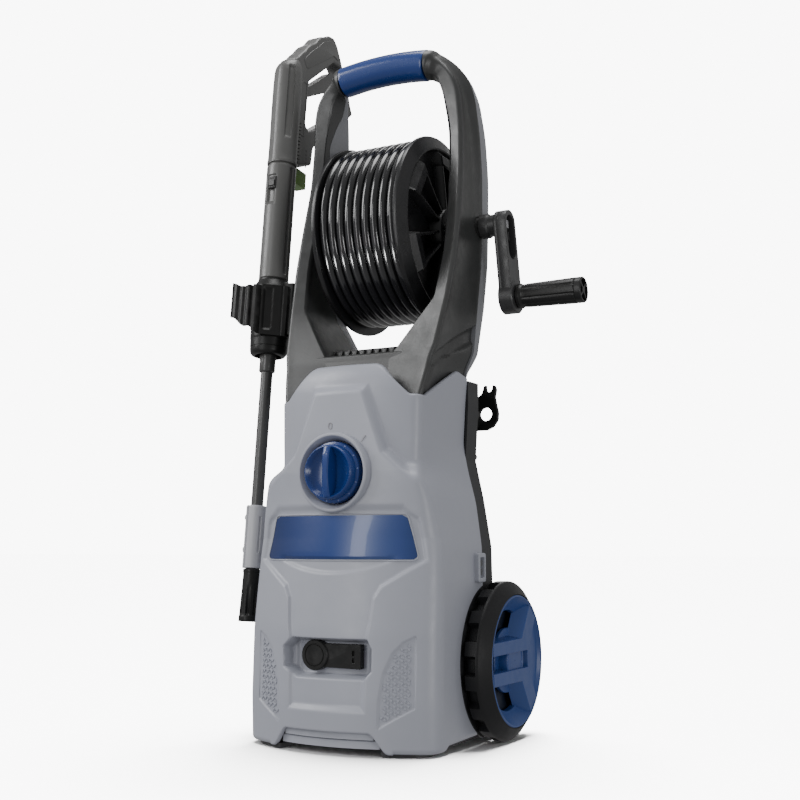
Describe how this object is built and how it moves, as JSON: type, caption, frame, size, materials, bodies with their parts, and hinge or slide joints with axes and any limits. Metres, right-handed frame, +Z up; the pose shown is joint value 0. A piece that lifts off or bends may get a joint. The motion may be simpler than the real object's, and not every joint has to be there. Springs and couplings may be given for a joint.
{
  "type": "pressure washer",
  "caption": "Upright wheeled pressure washer with a frame handle, wound hose reel with crank, and a spray gun with lance held at its side.",
  "frame": {"origin": "centre of the floor pad's underside, in the middle of the housing, on the ground", "axes": "+Z up; +Y to the back, where the wheels are; +X to the side with the crank"},
  "size_m": [0.4514, 0.3235, 1.0027],
  "materials": {
    "body_grey": "satin",
    "body_black": "satin",
    "label_blue": "gloss",
    "bezel_grey": "satin",
    "frame_dark": "satin",
    "frame_light": "satin",
    "black_plastic": "satin",
    "reel_black": "satin",
    "blue_plastic": "gloss",
    "cap_black": "satin",
    "grip_blue": "gloss",
    "rim_blue": "satin",
    "crank_dark": "satin",
    "gun_dark": "satin",
    "selector_black": "satin",
    "lance_dark": "satin",
    "latch_green": "gloss",
    "nozzle_grey": "satin",
    "nozzle_black": "satin",
    "hose_black": "satin",
    "steel": "satin",
    "cast_aluminium": "cast",
    "brass": "satin",
    "inlet_plastic": "satin",
    "filter_white": "matte",
    "rubber_black": "matte",
    "tyre_black": "matte"
  },
  "bodies": {
    "chassis": {"front_housing": "body_grey", "rear_housing": "body_black", "base_pan": "body_black", "label_plate": "label_blue", "knob_bezel": "bezel_grey", "nozzle_clip": "body_grey", "cable_hook": "black_plastic", "frame_front_shell": "frame_dark", "frame_rear_shell": "frame_light", "handle_tube": "steel", "handle_grip": "grip_blue", "reel_bushes": "rubber_black", "lance_holder": "black_plastic", "axle": "steel", "axle_washers": "steel", "motor_housing": "cast_aluminium", "stator": "steel", "motor_bearings": "steel", "pump_body": "cast_aluminium", "pistons": "steel", "piston_springs": "steel", "pump_head": "cast_aluminium", "motor_mounts": "rubber_black", "capacitor": "black_plastic", "pressure_switch": "black_plastic", "switch_box": "black_plastic", "water_inlet": "inlet_plastic", "inlet_filter": "filter_white", "cord_gland": "black_plastic", "screws": "steel", "hose_swivel": "brass"},
    "rotor": {"rotor": "steel", "cooling_fan": "black_plastic", "swash_plate": "cast_aluminium"},
    "knob": {"power_knob": "blue_plastic"},
    "cap": {"outlet_cap": "cap_black"},
    "reel": {"reel_drum": "reel_black", "reel_flange_left": "reel_black", "reel_flange_right": "reel_black", "reel_shaft": "steel", "hose_coil": "hose_black", "hose_connector": "brass", "crank_arm": "crank_dark", "crank_pin": "steel"},
    "crank_handle": {"crank_grip": "crank_dark"},
    "wheel_left": {"tyre_left": "tyre_black", "rim_left": "rim_blue"},
    "wheel_right": {"tyre_right": "tyre_black", "rim_right": "rim_blue"},
    "gun": {"gun_shell_left": "gun_dark", "gun_shell_right": "gun_dark", "gun_barrel": "gun_dark", "gun_valve": "brass", "lance_tube": "lance_dark", "nozzle_body": "nozzle_grey"},
    "trigger": {"trigger": "gun_dark"},
    "latch": {"lance_latch": "latch_green"},
    "selector": {"pressure_selector": "selector_black"},
    "nozzle": {"nozzle_tip": "nozzle_black"}
  },
  "joints": [
    {"name": "motor_spin", "type": "hinge", "parent": "chassis", "child": "rotor", "pos_m": [0, -0.005, 0.3], "axis": [0, 0, 1], "continuous": true},
    {"name": "knob_turn", "type": "hinge", "parent": "chassis", "child": "knob", "pos_m": [0, -0.11, 0.329], "axis": [0, 1, 0], "range_deg": [0, 50]},
    {"name": "cap_pull", "type": "slide", "parent": "chassis", "child": "cap", "axis": [0, -1, 0], "range_m": [0, 0.03]},
    {"name": "reel_spin", "type": "hinge", "parent": "chassis", "child": "reel", "pos_m": [0, 0.062, 0.66], "axis": [1, 0, 0], "continuous": true},
    {"name": "crank_grip_spin", "type": "hinge", "parent": "reel", "child": "crank_handle", "pos_m": [0.2, 0.082, 0.566], "axis": [1, 0, 0], "continuous": true},
    {"name": "wheel_left_spin", "type": "hinge", "parent": "chassis", "child": "wheel_left", "pos_m": [-0.15, 0.065, 0.0984], "axis": [1, 0, 0], "continuous": true},
    {"name": "wheel_right_spin", "type": "hinge", "parent": "chassis", "child": "wheel_right", "pos_m": [0.15, 0.065, 0.0984], "axis": [1, 0, 0], "continuous": true},
    {"name": "lance_lift", "type": "slide", "parent": "chassis", "child": "gun", "axis": [0, 0.1011, 0.9949], "range_m": [0, 0.465]},
    {"name": "trigger_pull", "type": "hinge", "parent": "gun", "child": "trigger", "pos_m": [-0.156, 0.04466, 0.89921], "axis": [1, 0, 0], "range_deg": [0, 6], "stiffness_Nm_per_rad": 4, "springref_deg": -5.73},
    {"name": "latch_press", "type": "slide", "parent": "gun", "child": "latch", "axis": [0, -0.9949, 0.1011], "range_m": [0, 0.0024], "stiffness_N_per_m": 400, "springref_m": -0.003},
    {"name": "selector_slide", "type": "slide", "parent": "gun", "child": "selector", "axis": [0, 0.1011, 0.9949], "range_m": [-0.018, 0]},
    {"name": "nozzle_turn", "type": "hinge", "parent": "gun", "child": "nozzle", "pos_m": [-0.156, -0.05636, 0.18174], "axis": [0, 0.1011, 0.9949], "range_deg": [0, 90]}
  ]
}
